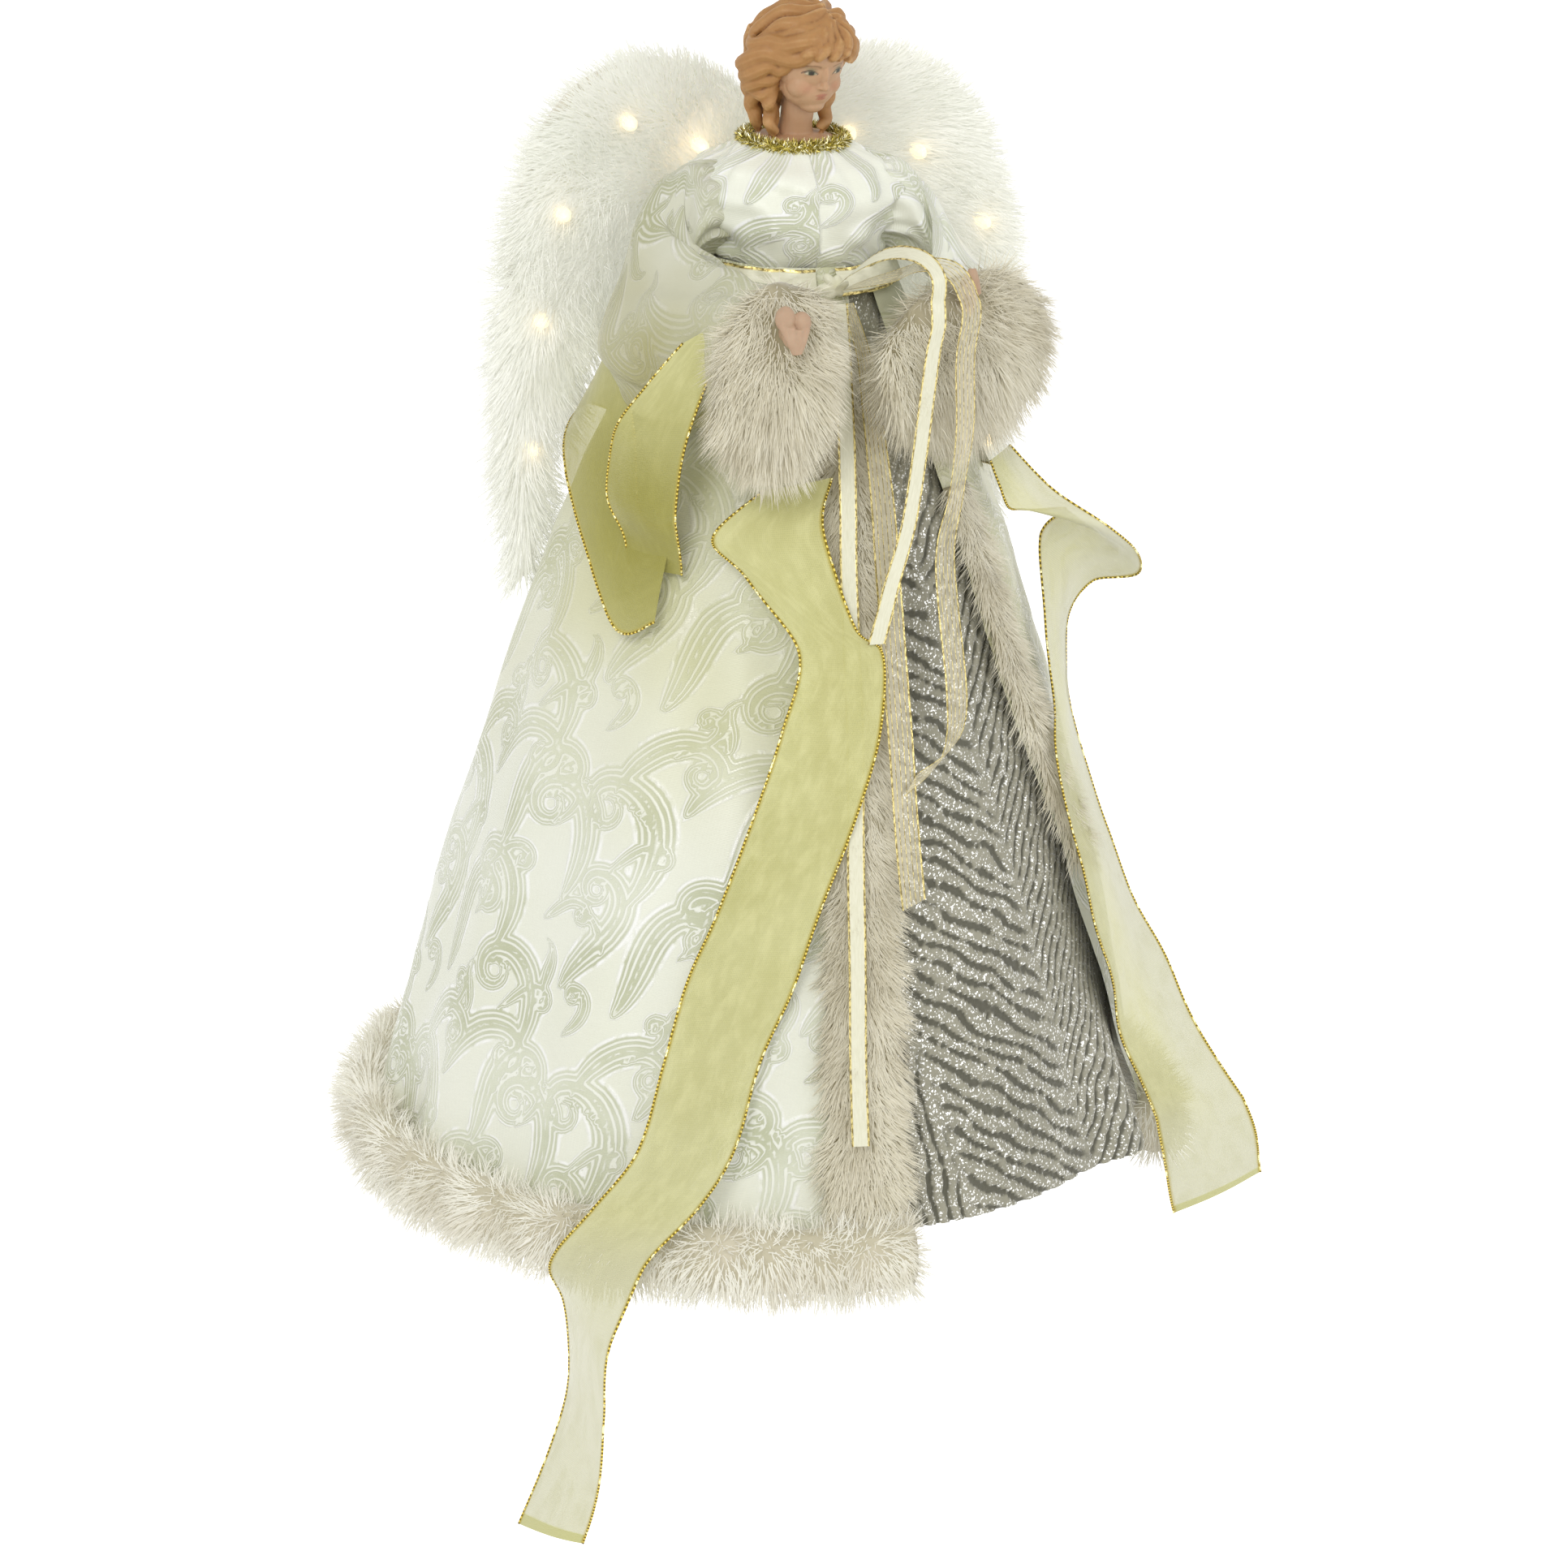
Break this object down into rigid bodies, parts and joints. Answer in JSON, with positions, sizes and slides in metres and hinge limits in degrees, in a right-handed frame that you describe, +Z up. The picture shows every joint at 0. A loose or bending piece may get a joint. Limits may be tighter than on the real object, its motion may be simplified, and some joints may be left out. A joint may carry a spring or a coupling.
{
  "type": "angel tree topper",
  "caption": "Lighted fabric angel tree topper: brocade robe with fur trim over a silver skirt, feather wings with mini lights, sheer ribbon shawl, on a hollow card cone.",
  "frame": {"origin": "centre of the cone's open bottom, in the plane of its rim", "axes": "+Z up the cone towards the head, the angel faces -Y, with its left arm at +X"},
  "size_m": [0.3061, 0.293, 0.4939],
  "materials": {
    "card": "matt rolled card",
    "core_foam": "foam core",
    "dowel_wood": "plain",
    "head_bisque": "matt bisque, painted face and moulded hair",
    "hand_bisque": "matt bisque",
    "arm_wire": "drawn wire",
    "silver_cloth": "pleated metallic cloth with glitter",
    "brocade": "woven scroll brocade",
    "fur": "long pile plush",
    "wing_feather": "fine down pile",
    "tinsel": "metallic braid",
    "satin_ribbon": "satin with metallic edges",
    "sheer_ribbon": "sheer with metallic stripes",
    "organza": "sheer, wired metallic edges",
    "lead": "soft insulation",
    "socket": "moulded",
    "bulb_glass": "clear warm glass, lit"
  },
  "bodies": {
    "root": {"bodice": "brocade", "bulb_1": "bulb_glass", "bulb_10": "bulb_glass", "bulb_2": "bulb_glass", "bulb_3": "bulb_glass", "bulb_4": "bulb_glass", "bulb_5": "bulb_glass", "bulb_6": "bulb_glass", "bulb_7": "bulb_glass", "bulb_8": "bulb_glass", "bulb_9": "bulb_glass", "collar_trim": "tinsel", "cone_base": "card", "head": "head_bisque", "light_lead": "lead", "neck_dowel": "dowel_wood", "robe": "brocade", "robe_front_fur_left": "fur", "robe_front_fur_right": "fur", "robe_hem_fur": "fur", "satin_side_lower": "satin_ribbon", "satin_tail_center": "satin_ribbon", "shawl_back": "organza", "shawl_front_tail": "organza", "shawl_side_tail": "organza", "sheer_side_lower": "sheer_ribbon", "sheer_tail_center": "sheer_ribbon", "socket_1": "socket", "socket_10": "socket", "socket_2": "socket", "socket_3": "socket", "socket_4": "socket", "socket_5": "socket", "socket_6": "socket", "socket_7": "socket", "socket_8": "socket", "socket_9": "socket", "torso_core": "core_foam", "underskirt": "silver_cloth", "waist_band": "satin_ribbon", "waist_knot": "satin_ribbon", "wing_backing_left": "card", "wing_backing_right": "card", "wing_bracket": "card", "wing_feathers_back_left": "wing_feather", "wing_feathers_back_right": "wing_feather", "wing_feathers_front_left": "wing_feather", "wing_feathers_front_right": "wing_feather"},
    "arm_right": {"arm_wire_right": "arm_wire", "hand_right": "hand_bisque", "sleeve_right": "brocade", "cuff_fur_right": "fur", "shawl_loop_right": "organza"},
    "arm_left": {"arm_wire_left": "arm_wire", "hand_left": "hand_bisque", "sleeve_left": "brocade", "cuff_fur_left": "fur", "satin_side_upper": "satin_ribbon", "sheer_side_upper": "sheer_ribbon"}
  },
  "joints": [
    {"name": "shoulder_right", "type": "hinge", "parent": "root", "child": "arm_right", "pos_m": [-0.0286, -0.004, 0.316], "axis": [-1, 0, 0], "range_deg": [0, 15]},
    {"name": "shoulder_left", "type": "hinge", "parent": "root", "child": "arm_left", "pos_m": [0.0286, -0.004, 0.316], "axis": [-1, 0, 0], "range_deg": [0, 15]}
  ]
}
